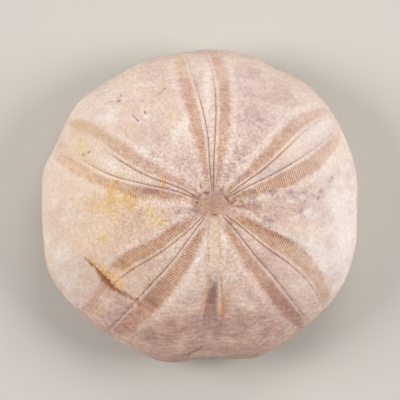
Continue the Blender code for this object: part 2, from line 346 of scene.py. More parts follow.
# guide lines round the test: a line, its sideways shift, plain columns before the next
def columnGuides():
    guides = []
    row = petals["rowWidth"]
    for name, lines in petals["lines"].items():
        firstEdge, firstRow, lastRow, lastEdge = lines
        guides.append((firstEdge, -petals["edgeWidth"], 0))
        guides.append((firstEdge, 0.0, test["bandColumns"] - 1))
        for line, after in ((firstRow, test["middleColumns"] - 1), (lastRow, test["bandColumns"] - 1)):
            guides += [(line, share * row, 0) for share in (-2, -1, 0, 1)]
            guides.append((line, 2 * row, after))
        guides.append((lastEdge, 0.0, 0))
        if name == "rearRight":
            guides.append((lastEdge, petals["edgeWidth"], test["grooveSideColumns"] - 1))
            rightLip, *inside, leftLip = groove["lines"]
            guides += [(rightLip, shift, 0) for shift in groove["lipShifts"][:2]]
            guides.append((rightLip, groove["lipShifts"][2], groove["columnsBetween"] - 1))
            guides += [(line, 0.0, groove["columnsBetween"] - 1) for line in inside]
            guides += [(leftLip, shift, 0) for shift in groove["lipShifts"][:2]]
            guides.append((leftLip, groove["lipShifts"][2], test["grooveSideColumns"] - 1))
        else:
            guides.append((lastEdge, petals["edgeWidth"], test["sectorColumns"] - 1))
    return guides


def lineBearing(line, reach):
    return smoothCurve(petals["reaches"], line, reach)


# bearing of every ring and column of vertices
def bearingGrid(guides, reaches):
    nearest = petals["reaches"][0]
    narrowed = grow(nearest, 2 * nearest, petals["leastSpread"], reaches)
    tracks = []
    for line, shift, _ in guides:
        bearing = lineBearing(line, reaches)
        distance = np.maximum(reaches, nearest) * marginDistance(bearing)
        tracks.append(bearing + np.degrees(shift * narrowed / distance))
    columns = []
    for place, guide in enumerate(guides):
        start = tracks[place]
        end = tracks[(place + 1) % len(guides)] + (360 if place + 1 == len(guides) else 0)
        steps = guide[2] + 1
        columns += [start + (end - start) * step / steps for step in range(steps)]
    return np.stack(columns, axis=1)


def domeHeight(reach):
    fall = (1.0 - reach ** test["fallPower"]) ** test["edgePower"]
    return test["marginHeight"] + (test["height"] - test["marginHeight"]) * fall


# reaches that put the top rings the same distance apart along the surface
def evenReaches(count):
    fine = np.sin(np.linspace(0, math.pi / 2, test["fineSteps"]))
    steps = np.hypot(np.diff(fine) * np.mean([d for _, d in test["outline"]]), np.diff(domeHeight(fine)))
    along = np.concatenate([[0.0], np.cumsum(steps)])
    return np.interp(np.linspace(0, along[-1], count + 1), along, fine)


def topSurface(reaches, bearings):
    distance = reaches[:, None] * marginDistance(bearings)
    angle = np.radians(bearings)
    height = np.broadcast_to(domeHeight(reaches)[:, None], bearings.shape)
    return np.stack([distance * np.sin(angle), distance * np.cos(angle), height], axis=-1)


def furrowShare(x, y):
    share = np.zeros_like(x)
    mouthX, mouthY = underside["mouth"]
    for _, firstRow, lastRow, _ in petals["lines"].values():
        bearing = (firstRow[-1] + lastRow[-1]) / 2
        distance = marginDistance(bearing)
        alongX = distance * math.sin(math.radians(bearing)) - mouthX
        alongY = distance * math.cos(math.radians(bearing)) - mouthY
        length = math.hypot(alongX, alongY)
        ahead = ((x - mouthX) * alongX + (y - mouthY) * alongY) / length
        aside = ((x - mouthX) * alongY - (y - mouthY) * alongX) / length
        share = np.maximum(share, np.where(ahead > 0, bell(underside["furrowHalf"], aside), 0.0))
    return share


# dished base with a sunken mouth, five furrows and the cushions it rests on, worn flat
def baseSurface(rim, reaches):
    mouth = np.array(underside["mouth"])
    flat = mouth + (rim[None, :, :2] - mouth) * reaches[:, None, None]
    x, y = flat[..., 0], flat[..., 1]
    reach = np.broadcast_to(reaches[:, None], x.shape)
    rest = underside["restReach"]
    outward = np.clip((reach - rest) / (1 - rest), 0, 1)
    rise = test["marginHeight"] * (1 - np.sqrt(1 - outward**2))
    dish = underside["dishHeight"] * (1 - np.clip(reach / rest, 0, 1) ** 2) ** 2
    z = np.where(reach > rest, rise, dish)
    furrow = furrowShare(x, y)
    fromMouth = np.hypot(x - mouth[0], y - mouth[1])
    inside = 1 - ease(underside["fadeReach"], 1.0, reach)
    z = z + underside["furrowDepth"] * furrow * inside
    z = z + underside["mouthDepth"] * (1 - ease(underside["mouthInner"], underside["mouthOuter"], fromMouth))
    lip = bell(underside["lipSpread"], fromMouth - underside["lipRadius"])
    z = z - underside["lipSwell"] * (1 - furrow) * lip - underside["restWear"] * inside
    return np.stack([x, y, np.maximum(z, 0.0)], axis=-1)


# distances, in millimetres, outward from the nearest petal's pore row and inward from its
# band's edge, and the number of that band
def petalPlaces(reaches, bearings, distance):
    best = np.full(bearings.shape, np.inf)
    fromRow, fromEdge, bandNumber = np.zeros((3,) + bearings.shape)
    for number, lines in enumerate(petals["lines"].values()):
        firstEdge, firstRow, lastRow, lastEdge = (lineBearing(line, reaches)[:, None] for line in lines)
        middle = (firstRow + lastRow) / 2
        turn = (bearings - middle + 180) % 360 - 180
        across = np.radians(1.0) * np.maximum(distance, test["nearest"])     # millimetres in a degree
        onFirst = turn < 0
        row = np.where(onFirst, firstRow - middle - turn, turn - (lastRow - middle)) * across
        edge = np.where(onFirst, turn - (firstEdge - middle), lastEdge - middle - turn) * across
        closer = np.abs(turn) < best
        best = np.where(closer, np.abs(turn), best)
        fromRow = np.where(closer, row, fromRow)
        fromEdge = np.where(closer, edge, fromEdge)
        bandNumber = np.where(closer, number * 2 + np.where(onFirst, 0, 1), bandNumber)
    return fromRow, fromEdge, bandNumber.astype(int)


def grooveShape(right, behind):
    shift, floorHalf, lipHalf, depth = (
        smoothCurve(groove["behind"], groove[name], behind)
        for name in ("shiftLeft", "floorHalf", "lipHalf", "depth"))
    sunk = 1 - ease(floorHalf, lipHalf, np.abs(right + shift))
    return np.where(behind > groove["behind"][0], depth * sunk, 0.0)


# how far outside the foot of the break, and how far along it counts
def crackShape(bearings, distance):
    places, distances = zip(*crack["line"])
    wobble = sum(size * np.sin(bearings * pace + start) for size, pace, start in crack["wobble"])
    outside = distance - smoothCurve(places, distances, bearings) - wobble
    first, last = crack["bearings"][0], crack["bearings"][-1]
    along = ease(first - crack["endFade"], first, bearings)
    along = along * (1 - ease(last, last + crack["endFade"], bearings))
    return outside, along


def alongCrack(name, bearings):
    return smoothCurve(crack["bearings"], crack[name], bearings)


say("adding the ball that becomes the test")
guides = columnGuides()
columnCount = sum(guide[2] + 1 for guide in guides)
ringCount = test["topRings"] + test["baseRings"]
nothingSelected()
bpy.ops.mesh.primitive_uv_sphere_add(segments=columnCount, ring_count=ringCount, radius=1.0)
urchin = bpy.context.active_object
urchin.name = "fossilTest"
urchin.data.name = "fossilTest"

pointCount = len(urchin.data.vertices)
ball = np.empty(pointCount * 3)
urchin.data.vertices.foreach_get("co", ball)
ball = ball.reshape(-1, 3)
turnOf = np.round(np.arctan2(ball[:, 0], ball[:, 1]) / math.tau * columnCount).astype(int) % columnCount
ringOf = np.round(np.arccos(np.clip(ball[:, 2], -1, 1)) / math.pi * ringCount).astype(int)
turnOf[(ringOf == 0) | (ringOf == ringCount)] = 0

say("sculpting the dome, the margin and the underside")
topRings = test["topRings"]
reaches = evenReaches(topRings)
bearings = bearingGrid(guides, reaches)
top = topSurface(reaches, bearings)
baseReaches = 1.0 - ease(0, test["baseRings"], np.arange(1, test["baseRings"] + 1).astype(float))
base = baseSurface(top[-1], baseReaches)
surface = np.concatenate([top, base], axis=0)

# the solid's own box gives the place and the exact size
low = np.array(solidBox[0]) / millimetre
high = np.array(solidBox[1]) / millimetre
ownLow = surface.reshape(-1, 3).min(axis=0)
ownHigh = surface.reshape(-1, 3).max(axis=0)
stretch = (high - low) / (ownHigh - ownLow)
placed = (surface - ownLow) * stretch + low


def writePoints(points):
    urchin.data.vertices.foreach_set("co", (points * millimetre).reshape(-1))
    urchin.data.update()


points = placed[ringOf, turnOf]
writePoints(points)
nothingSelected()
urchin.select_set(True)
bpy.context.view_layer.objects.active = urchin
bpy.ops.object.mode_set(mode="EDIT")
bpy.ops.mesh.select_all(action="SELECT")
bpy.ops.mesh.normals_make_consistent(inside=False)
bpy.ops.object.mode_set(mode="OBJECT")
bpy.ops.object.shade_smooth()

say("carving the petals, the groove and the crack")
onTop = np.zeros(surface.shape[:2], bool)
onTop[:topRings + 1] = True
allReaches = np.concatenate([reaches, np.ones(test["baseRings"])])
allBearings = np.concatenate([bearings, np.repeat(bearings[-1:], test["baseRings"], axis=0)])
topReach = np.where(onTop, allReaches[:, None], 2.0)     # past the margin on the underside
right = surface[..., 0]
forward = surface[..., 1]
behind = -forward
flatDistance = np.hypot(right, forward)
fromRow, fromEdge, bandNumber = petalPlaces(allReaches, allBearings, flatDistance)
ringNumber = np.broadcast_to(np.arange(ringCount + 1)[:, None], fromRow.shape)
ringsPerSlit = petals["ringsPerSlit"]
slitPlace = ringNumber / ringsPerSlit + (bandNumber % ringsPerSlit) / ringsPerSlit
for wander, wave in zip(petals["edgeWander"], petals["edgeWaves"]):
    fromEdge = fromEdge + wander * np.sin(ringNumber / wave + petals["bandStagger"] * bandNumber)
slitDraws = np.random.default_rng(petals["slitSeed"]).uniform(-1, 1, (len(petals["rowEnds"]), ringCount))
slitEnds = slitDraws * petals["slitEnds"]
fromEdge = fromEdge + slitEnds[bandNumber, np.floor(slitPlace).astype(int) % ringCount]

rimFade = fade(*petals["rimFade"], topReach)
rowShare = ease(*petals["rowStart"], topReach) * rimFade
bandShare = ease(*petals["bandStart"], topReach) * rimFade
ridgeWidth = petals["ridgeNearApex"] + petals["ridgeGrowth"] * flatDistance
ridgeWidth = ridgeWidth * fade(*petals["ridgeFade"], topReach)
innerEdge, outerEdge = petals["bandEdges"]
inBand = ease(*innerEdge, fromRow - ridgeWidth) * ease(*outerEdge, fromEdge) * bandShare
rowFade = fade(*petals["rowEndFade"], topReach - np.array(petals["rowEnds"])[bandNumber])
onRidge = bell(petals["ridgeSpread"], fromRow / ridgeWidth - petals["ridgePlace"]) * rowShare * rowFade
inMiddle = ease(*petals["middleEdge"], -fromRow) * rowShare

# the block beyond the break, and the worn strip beside the break
crackOutside, crackAlong = crackShape(allBearings, flatDistance)
blockSide = allBearings > crack["blockBearing"]
onBlock = ease(*crack["blockEdge"], crackOutside) * crackAlong
nearCrack = between(*crack["worn"], crackOutside) * crackAlong * blockSide
rowWidth = petals["rowWidth"] * grow(*petals["rowWidens"], flatDistance)
onRow = bell(rowWidth, fromRow) * rowShare * (1 - crack["rowLoss"] * onBlock * blockSide) * rowFade
slitWear = ease(*petals["slitStart"], topReach) * fade(*petals["slitFade"], topReach)
slitted = inBand * slitWear * (1 - crack["slitLoss"] * nearCrack)
onSlitRing = np.abs(slitPlace - np.round(slitPlace)) < 0.5 / ringsPerSlit
inSlit = onSlitRing * slitted

# apex: a sunken disc with a knob behind its middle
knob = bell(apex["knobWidth"], np.hypot(right - apex["knob"][0], forward - apex["knob"][1])) * onTop
disc = bell(apex["discWidth"], flatDistance) * onTop

edgeFade = fade(*test["rimEdge"], topReach)
grooveDepth = grooveShape(right, behind) * edgeFade
crackOn = crackAlong * edgeFade
faceWidth = alongCrack("faceWidth", allBearings)
fromFace = crackOutside + faceWidth
downFace = ease(0.0, 1.0, fromFace / (faceWidth + crack["faceFoot"]))
notchReach = np.maximum(alongCrack("notch", allBearings), 0.01)
inNotch = ease(*crack["notchStart"], crackOutside) * crackOn
inNotch = inNotch * (1 - ease(*crack["notchEnd"], crackOutside / notchReach))
lumps = 1
for bearingPace, outwardPace in crack["lumpPaces"]:
    lumps = lumps * np.sin(allBearings * bearingPace + crackOutside * outwardPace)
lumps = lumps + crack["lumpGrit"] * np.random.default_rng(crack["lumpSeed"]).uniform(-1, 1, lumps.shape)
onFace = ease(*crack["lumpStart"], fromFace) * (1 - ease(*crack["lumpEnd"], crackOutside)) * crackOn
onFace = onFace * ease(*crack["lumpBearings"], allBearings)
relief = (
    petals["middleSwell"] * inMiddle
    - petals["rowDepth"] * onRow
    + petals["ridgeHeight"] * onRidge
    - petals["bandDepth"] * inBand
    - petals["slitDepth"] * inSlit
    + apex["knobHeight"] * knob
    - apex["discDepth"] * disc
    - grooveDepth
    - alongCrack("drop", allBearings) * downFace * crackOn
    - crack["notchDepth"] * inNotch
    + crack["lumpHeight"] * lumps * onFace
)


def pushOut(points, amounts):
    normals = np.empty(pointCount * 3)
    urchin.data.vertex_normals.foreach_get("vector", normals)
    return points + normals.reshape(-1, 3) * amounts[ringOf, turnOf][:, None]


points = pushOut(points, relief)
points[:, 2] = np.maximum(points[:, 2], 0.0)     # nothing below the plane that it rests on
writePoints(points)

say("painting where the pores, stains and wear are")

# a dab is (right, forward, half length, half width, turn, strength), from the middle of the fossil
stains = {
    "rosy": (
        (-20, -24, 15, 11, 45, 1), (4, -38, 30, 10, 0, 0.9), (-20, -12, 14, 9, -20, 0.9),
        (18, -22, 13, 10, -40, 0.65), (15, -3, 10, 7, 0, 0.55), (-12, -3, 12, 7, 0, 0.55),
    ),
    "cool": (
        (30, 24, 15, 8, -42, 0.9), (13, 33, 14, 8, -15, 0.7), (33, 8, 6, 12, 0, 0.6),
        (32, 12.5, 8, 3, 35, 0.9), (-26, 31, 9, 5, 38, 0.6), (3, 38, 12, 5, 0, 0.5),
    ),
    "warm": (
        (-30, 0, 22, 12, 90, 0.75), (-26, 25, 10, 5, 40, 0.4), (-8.5, 25, 4, 6, 0, 0.4),
        (-18, -16, 14, 10, -40, 0.8), (4.2, -10, 7, 5, 90, 0.5), (-33, 15, 6, 9, 0, 0.6),
        (-17, -2, 8, 5, 0, 0.8), (-12, 32, 4, 3, 0, 0.35),
    ),
    "ochre": (
        (-24.6, 3.4, 5.5, 2.2, 75, 1), (-20.5, 1.2, 5.5, 2.4, 0, 0.8), (-29.5, 7, 3.2, 1.3, -20, 0.6),
        (-24.3, -0.9, 4, 3, 0, 0.65), (-28.5, 0.5, 5, 3, 0, 0.6), (-32.5, 14.5, 4, 1.2, 10, 0.55),
        (-10.2, 6.7, 1.1, 2.2, -20, 1.15), (-27.5, -9.6, 1.8, 1.3, 0, 0.75), (-34, 10, 2.5, 1.5, 0, 0.5),
        (-31, -13.4, 1.2, 0.9, 0, 0.5), (-21, -17.5, 2.2, 1.6, 30, 0.55), (-22.5, -19.5, 3, 2, -40, 0.45),
        (6.1, -29.9, 2.4, 0.7, 90, 0.9), (-0.6, -29, 0.9, 2.2, 80, 0.7),
    ),
    "lemon": (
        (-13.8, -1.2, 1.9, 2.1, 0, 0.85), (-11.4, -4.3, 2.8, 1.7, -15, 0.95),
        (-27.2, -8.6, 2.6, 1.8, 0, 0.8), (-33.5, 16.5, 3.6, 3, -20, 0.75), (-10, 34.5, 2, 2, 0, 0.5),
        (-23, 2, 7, 4.5, 0, 0.6), (-8.3, 25.6, 2, 2.5, 0, 0.5), (-12, 30, 2.4, 1.2, 45, 0.45),
        (-20.5, 22, 5, 1.6, 20, 0.4),
    ),
    "olive": (
        (-34, 23, 5, 2, -12, 0.85), (-27.5, 20.2, 5.5, 1.8, -38, 0.7), (-38.5, 17, 2.2, 3, 0, 0.55),
        (-33, 19, 5, 3.5, -30, 0.55), (-30.5, 10.2, 3, 1.2, -30, 0.45), (-13, -3.5, 4, 2.5, 0, 0.35),
        (3, -0.8, 2.6, 1.2, -10, 0.55), (-5, -6.5, 5, 2, 40, 0.6), (11.5, -4.8, 5, 1.3, -27, 0.65),
        (12.5, 2.4, 4, 1.4, 22, 0.6), (3.5, 2, 13, 11, 0, 0.48), (-9, 2, 5, 1.3, 0, 0.45),
        (10.5, -12, 5, 1.2, -58, 0.45), (-31, 13, 5, 3, -20, 0.42), (-24, -8, 7, 6, 0, 0.3),
        (8, -25, 4.5, 1.6, 85, 0.7), (-28, -29.5, 5, 3, 45, 0.65), (-23.5, -13.5, 6, 3, -40, 0.45),
        (-18.5, -7.5, 4, 2.5, 0, 0.5), (-19.5, -15.5, 4, 2.5, 45, 0.5), (-23, -22.5, 5, 3, -40, 0.55),
    ),
    "mauve": (
        (14, 29, 15, 7, -25, 0.6), (15, 19.5, 6, 4.5, 30, 0.45), (25, 2, 11, 6, 0, 0.55),
        (3.9, 1.5, 13, 11, 0, 0.55), (-9, -3, 8, 2.5, 5, 0.4), (-13, 19, 7, 4, -20, 0.55),
        (23.5, 31, 7, 4, -38, 0.7), (1, 36, 5, 4, 0, 0.5), (27, -9.5, 5, 2.2, -42, 0.6),
        (14.5, -25.5, 5, 2.5, -48, 0.6), (-20, -21.5, 3.5, 2.5, -30, 0.65), (5, 9, 8, 3.5, 0, 0.75),
        (-22.5, -27, 6, 2.5, -35, 0.6), (8, -2.5, 5, 3.5, 0, 0.55), (9, -24, 2, 5, 0, 0.4),
        (-22.5, -30.5, 5, 3, 45, 0.75), (-11, -23, 5, 3, 45, 0.65), (24.5, -28.5, 11, 2.8, -48, 0.75),
        (34, 19, 7, 3.5, 35, 0.35), (3.6, -33, 6, 4, 0, 0.9), (12, -34, 10, 4, 0, 0.6),
        (16, -14, 9, 3.5, -45, 0.42), (4.5, 35, 7, 6, 80, 0.4), (-3, 12, 5, 4, 0, 0.5),
        (-18, -9, 7, 4, 0, 0.4), (-4, -30, 5, 9, 20, 0.5), (-17, -2.6, 5, 3, 0, 0.35),
        (-24, 16.5, 8, 2.5, -38, 0.3), (-17, 2.5, 5, 1.2, -8, 0.5), (20, 9, 8, 2.5, 30, 0.55),
        (12, 14.5, 7, 5, 40, 0.5), (-28, -29, 4, 3, 45, 0.35), (17, -1.5, 9, 5, 0, 0.6),
        (28.5, 1.5, 4, 3, 0, 0.55), (16, 36, 9, 4, -22, 0.55), (-19, -16, 12, 7, -30, 0.45),
    ),
    "blots": (
        (20.5, 4, 2.4, 1.4, 20, 0.8), (25.5, 3.6, 2, 1.5, -20, 0.8), (28, -0.5, 2.2, 1.5, 30, 0.75),
        (23.5, -1, 1.8, 1.2, 0, 0.7), (31.5, 2.6, 1.8, 1.2, 40, 0.75), (34, 3.5, 2.6, 1.1, 70, 0.7),
        (19.5, -4.5, 3, 2, 0, 0.65), (14.5, 2.8, 2.6, 1.6, 0, 0.8), (11.5, 14.5, 5, 2.6, 50, 0.65),
        (16, 25, 8, 4.5, 0, 0.5), (3.9, 4, 7, 5, 0, 0.5), (-2, -1.6, 2.6, 1.5, 0, 0.8),
        (-5.5, -1.6, 2.4, 1.3, 10, 0.65), (-12, 14, 7, 1.2, -25, 0.5), (-17, -10, 4, 3, 0, 0.5),
        (28, -2, 5, 2, 0, 0.45), (-15.5, 4.2, 5, 1.2, -6, 0.55), (28.6, 3.4, 1.8, 1.4, 0, 0.8),
        (12.5, 8.5, 3, 2, 40, 0.5), (7.5, 9, 2, 3, 0, 0.5), (16.7, -0.5, 3, 3, 0, 0.5),
        (0.5, 8.5, 3.5, 2, 0, 0.35), (4.6, 0.8, 3, 2.2, 0, 0.55),
    ),
    "chalk": (
        (41, -6, 22, 6, 90, 0.9), (34, -14, 9, 7, 0, 0.9), (34, 21.5, 5, 2.2, 35, 0.8),
        (26.4, -3.4, 1.8, 1.4, 0, 0.8), (30.5, -1.4, 1.6, 1.2, 30, 0.8), (25.5, 1.4, 1.5, 1, 0, 0.85),
        (35, -21, 4, 4, 0, 0.6), (-0.6, -13.5, 5, 1.5, 76, 0.85), (28.8, 2.6, 1.4, 0.9, 0, 0.8),
        (2.2, 34, 7, 1.5, 85, 0.85), (-25, 11.5, 6, 2.3, -25, 0.62), (-5.5, 21, 5, 2.2, 60, 0.7),
        (-20, -21, 3, 2, 0, 0.4), (-15, 16.5, 4, 2.2, 0, 0.6), (-3, -20, 7, 1.8, 65, 0.65),
        (8, -20, 4, 2.6, 0, 0.4), (22, -11.5, 5, 1.6, -40, 0.55), (28, -24, 5, 2, -50, 0.5),
        (21, 17, 6, 1.8, 45, 0.5), (-36, 28, 8, 3, 45, 0.6), (-25, 25.5, 6, 3, 0, 0.7),
        (-19, 32, 7, 2, 30, 0.5), (22, 10.5, 7, 1.5, 25, 0.4), (-37, -10, 10, 4, 80, 0.25),
        (-39, -17, 12, 4.5, 110, 0.6), (-15.1, 25, 0.7, 0.4, 40, 1.1), (-16.7, 23.5, 0.9, 0.3, 35, 1),
        (-21.3, 30.2, 0.6, 0.3, 0, 1), (1.2, -10.5, 5, 0.9, 82, 0.7), (6.8, -10.5, 5, 0.9, 98, 0.7),
        (-35.5, -2.6, 7, 4, 90, 0.55), (-41.5, 2, 5, 2.5, 90, 0.45), (33, -2.6, 3, 2.5, 0, 0.5),
        (-32.8, -22.5, 4, 2.8, 60, 0.45), (-24.5, 32.5, 5, 2.5, 20, 0.5),
    ),
    "clay": (
        (4, -40, 24, 5, 0, 0.42), (-10, -35.5, 10, 4, 10, 0.8), (17, -33, 10, 4.5, -20, 0.58),
        (4, 0.5, 6.5, 5, 0, 0.85), (-24, -31.5, 7, 4, 45, 0.45), (24.5, -29, 9, 3, -48, 0.45),
        (-22.5, -26.6, 5.5, 1.8, -35, 0.75), (-19, -23.5, 3, 1.6, -30, 0.45),
        (24, -9.2, 11, 0.9, -24, 0.8), (37.2, 7.6, 1.6, 0.6, 65, 0.8), (-14.5, 4.6, 5, 1.5, -8, 0.85),
        (12, 0.5, 6, 2.4, -5, 0.85), (-6, -5, 5, 2.4, 0, 0.45), (-15, -18, 10, 4, 45, 0.5),
        (20, -16, 9, 4, -40, 0.5), (17, 12, 8, 4, 30, 0.4), (-13.5, -26.5, 3.4, 1.6, -35, 0.6),
        (7.4, -26, 4, 1, 88, 0.65), (-17, -3, 5, 3, 0, 0.4), (-25.5, -16.5, 3, 1.2, -30, 0.4),
        (11, -37, 9, 4, -10, 0.5),
    ),
    # dark brown: stains and specks, and painted shade in the dabs beside the break's foot and the thin one in
    # the fold at the rear margin
    "umberAndShade": (
        (-26, -21.8, 2.6, 1.2, -42, 1), (-27.4, -20.6, 1.4, 1.6, -50, 0.9),
        (-20.5, -25, 3, 0.8, -25, 0.8), (-17.3, -27, 1.6, 0.8, -50, 0.85),
        (24.2, -39.6, 1.6, 0.8, 30, 0.9), (-2, -41.6, 3.4, 0.5, 22, 0.95),
        (-13.6, -26.3, 2.8, 0.9, -22, 0.4), (4, -2.3, 1, 0.7, 0, 0.7), (-24.6, -23, 3, 1.1, -42, 0.8),
        (-21.5, -15.8, 2.2, 1, -30, 0.65), (-17.2, -18.2, 2.2, 1.2, 45, 0.5),
        (-23.3, -14.6, 1.5, 0.8, -30, 0.55), (-21.3, -24.8, 2.6, 0.9, -22, 0.9),
        (-10.9, 32.1, 1.9, 0.4, 42, 0.75), (-13.4, 28.2, 1.8, 0.25, 60, 0.4),
        (-31.8, 15, 1.7, 0.5, 20, 0.55), (-22.6, 30.4, 0.9, 0.7, 60, 0.45), (0, 2.8, 0.9, 0.6, 60, 0.75),
        (1.9, 3.7, 1, 0.45, 0, 0.95), (7.7, 2, 1.9, 0.4, -52, 0.85), (6.1, 4.6, 0.7, 0.6, 0, 0.85),
        (-0.9, 1, 0.9, 0.7, 0, 0.65), (0.3, 5.8, 0.8, 0.5, 80, 0.65), (8.9, 0.8, 0.7, 0.6, 0, 0.85),
        (11.4, 1.2, 0.8, 0.7, 0, 0.6), (1, -2.6, 0.8, 0.5, 60, 0.65), (8.5, -4.8, 1, 0.4, 0, 0.75),
        (-0.6, -1.3, 1, 0.8, 0, 0.55), (11.9, -0.2, 0.8, 0.5, -30, 0.55), (3.3, 2.6, 1.4, 0.5, 10, 0.45),
        (2.2, 0.6, 1, 0.6, 20, 0.5), (5.3, 0.4, 0.9, 0.5, 60, 0.45), (4.6, 2.2, 0.8, 0.5, 0, 0.5),
        (3, -1, 0.9, 0.5, -30, 0.5),
    ),
}
dabSoftness = 0.7
dabsBelow = 0.6            # strength left on the underside


def dabs(kind):
    x, y = placed[..., 0], placed[..., 1]
    amount = np.zeros_like(x)
    for dabRight, dabForward, halfLength, halfWidth, turn, strength in stains[kind]:
        c, s = math.cos(math.radians(turn)), math.sin(math.radians(turn))
        along = ((x - dabRight) * c + (y - dabForward) * s) / halfLength
        aside = (-(x - dabRight) * s + (y - dabForward) * c) / halfWidth
        amount = np.maximum(amount, strength * np.exp(-(along**2 + aside**2) * dabSoftness))
    return np.where(onTop, amount, amount * dabsBelow)


def paint(name, values):
    layer = urchin.data.attributes.new(name, "FLOAT", "POINT")
    layer.data.foreach_set("value", values[ringOf, turnOf].astype(np.float32))


rightLip, leftLip, floorRight, floorLeft = (
    smoothCurve(groove["paintBehind"], groove[name], behind)
    for name in ("rightLip", "leftLip", "floorRight", "floorLeft"))
rightLine = grow(*groove["rightLineBrightens"], behind) * bell(groove["lineHalf"], right - rightLip)
leftLine = groove["leftLineTone"] * bell(groove["lineHalf"] * groove["leftLineWidening"], right - leftLip)
onLip = np.maximum(rightLine, leftLine) * between(*groove["linesBehind"], behind) * onTop
darkFloor = ease(*groove["floorEdge"], right - floorLeft) * ease(*groove["floorEdge"], floorRight - right)
darkFloor = darkFloor * between(*groove["floorBehind"], behind) * onTop
darkFloor = darkFloor * fade(*groove["floorFade"], behind)

stripAside = np.abs(right + strip["sway"] * np.sin(behind * strip["swayPace"]))
onStrip = (1 - ease(*strip["half"], stripAside)) * between(*strip["behind"], behind) * onTop
onStripEdge = bell(strip["edgeSpread"], stripAside - strip["edgeAside"]) * onTop
onStripEdge = onStripEdge * between(*strip["edgeBehind"], behind)

crackStain = ease(*crack["stainStart"], fromFace) * (1 - ease(*crack["stainEnd"], crackOutside)) * crackOn
crackStain = crackStain * grow(*crack["stainBearings"], allBearings)
crackFoot = between(*crack["foot"], crackOutside) * crackOn
crackFoot = crackFoot * ease(*crack["footBearings"], allBearings) * fade(*crack["footFade"], allBearings)
# painted shadow: a dark line in the gap along the break's foot
crackGapShadow = crack["gapTone"] * bell(crack["gapSpread"], crackOutside - crack["gapPlace"]) * crackOn
crackGapShadow = crackGapShadow * grow(*crack["gapBearings"], allBearings)

innerEdge, outerEdge = petals["tintEdges"]
bandTint = ease(*innerEdge, fromRow - ridgeWidth) * ease(*outerEdge, fromEdge) * bandShare
bandTint = bandTint * np.array(petals["bandTones"])[bandNumber] * fade(*petals["tintFade"], topReach)
bandTint = bandTint * (1 - crack["tintLoss"] * nearCrack)
bandTint = bandTint * (1 - crack["blockTintLoss"] * onBlock * blockSide)
halo = bell(petals["haloSpread"], fromEdge + petals["haloPlace"]) * bandShare * (fromRow > 0)

baseReach = np.concatenate([np.ones(topRings + 1), baseReaches])[:, None]
fromMouth = np.hypot(right - underside["mouth"][0], forward - underside["mouth"][1])
silt = underside["furrowSilt"] * furrowShare(right, forward)
silt = np.maximum(silt, bell(underside["mouthOuter"], fromMouth))
silt = silt * (1 - ease(underside["fadeReach"], 1.0, baseReach))

innerShare = 1 - ease(*test["innerReaches"], topReach)
rippledAhead = test["rippleShareAhead"] * ease(*test["rippledAhead"], forward)
masks = {
    "band": bandTint,
    "slit": slitted * np.array(petals["slitTones"])[bandNumber],
    "slitTurn": slitPlace,
    "row": onRow * fade(*petals["rowTintFade"], topReach),
    "halo": halo,
    "silt": silt,
    "notch": inNotch,
    "ridge": onRidge,
    "middle": inMiddle,
    "lip": onLip,
    "grooveFloor": darkFloor,
    "strip": onStrip,
    "stripEdge": onStripEdge,
    "crackStain": crackStain,
    "crackFoot": crackFoot,
    "crackGapShadow": crackGapShadow,
    "knob": knob,
    "inner": innerShare * (1 - strip["innerLoss"] * onStrip),
    "rippled": np.maximum(ease(*test["rippledBehind"], behind), rippledAhead) * onTop,
    "top": onTop.astype(float),
    "whole": np.ones(onTop.shape),
}
for name, values in masks.items():
    paint(name, values)
for kind in stains:
    paint(kind, dabs(kind))

say("weathering the surface")
weathering = {
    "swells": {"size": 9.0, "strength": 0.45},
    "grain": {"size": 1.7, "strength": 0.09},
}
restHeight = 0.02          # what is lower rests on the floor and stays flat
weathered = urchin.vertex_groups.new(name="weathered")
lifted = points[:, 2] > restHeight
for vertex in np.nonzero(lifted)[0]:
    weathered.add([int(vertex)], 1.0, "REPLACE")
for name, wear in weathering.items():
    cloud = bpy.data.textures.new(name, "CLOUDS")
    cloud.noise_scale = wear["size"] * millimetre
    cloud.noise_depth = 2
    bpy.ops.object.modifier_add(type="DISPLACE")
    displace = urchin.modifiers[-1]
    displace.name = name
    displace.texture = cloud
    displace.texture_coords = "LOCAL"
    displace.strength = wear["strength"] * millimetre
    displace.mid_level = 0.5
    displace.vertex_group = "weathered"
    bpy.ops.object.modifier_apply(modifier=name)
urchin.vertex_groups.clear()

final = np.empty(pointCount * 3)
urchin.data.vertices.foreach_get("co", final)
final = final.reshape(-1, 3)
final[:, 2] = np.maximum(final[:, 2], 0.0)
writePoints(final / millimetre)


# adds a shader node; an input is a value, or a node or socket to link from, and From and To
# each give a range's two ends
def addNode(tree, kind, settings=None, inputs=None):
    node = tree.nodes.new("ShaderNode" + kind)
    for name, value in (settings or {}).items():
        setattr(node, name, value)
    inputs = dict(inputs or {})
    for ends in ("From", "To"):
        if ends in inputs:
            inputs[ends + " Min"], inputs[ends + " Max"] = inputs.pop(ends)
    for name, value in inputs.items():
        if isinstance(name, int):
            socket = node.inputs[name]
        else:
            socket = next(s for s in node.inputs if s.enabled and s.name == name)
        if isinstance(value, bpy.types.Node):
            value = next(s for s in value.outputs if s.enabled)
        if isinstance(value, bpy.types.NodeSocket):
            tree.links.new(value, socket)
        else:
            socket.default_value = value
    return node


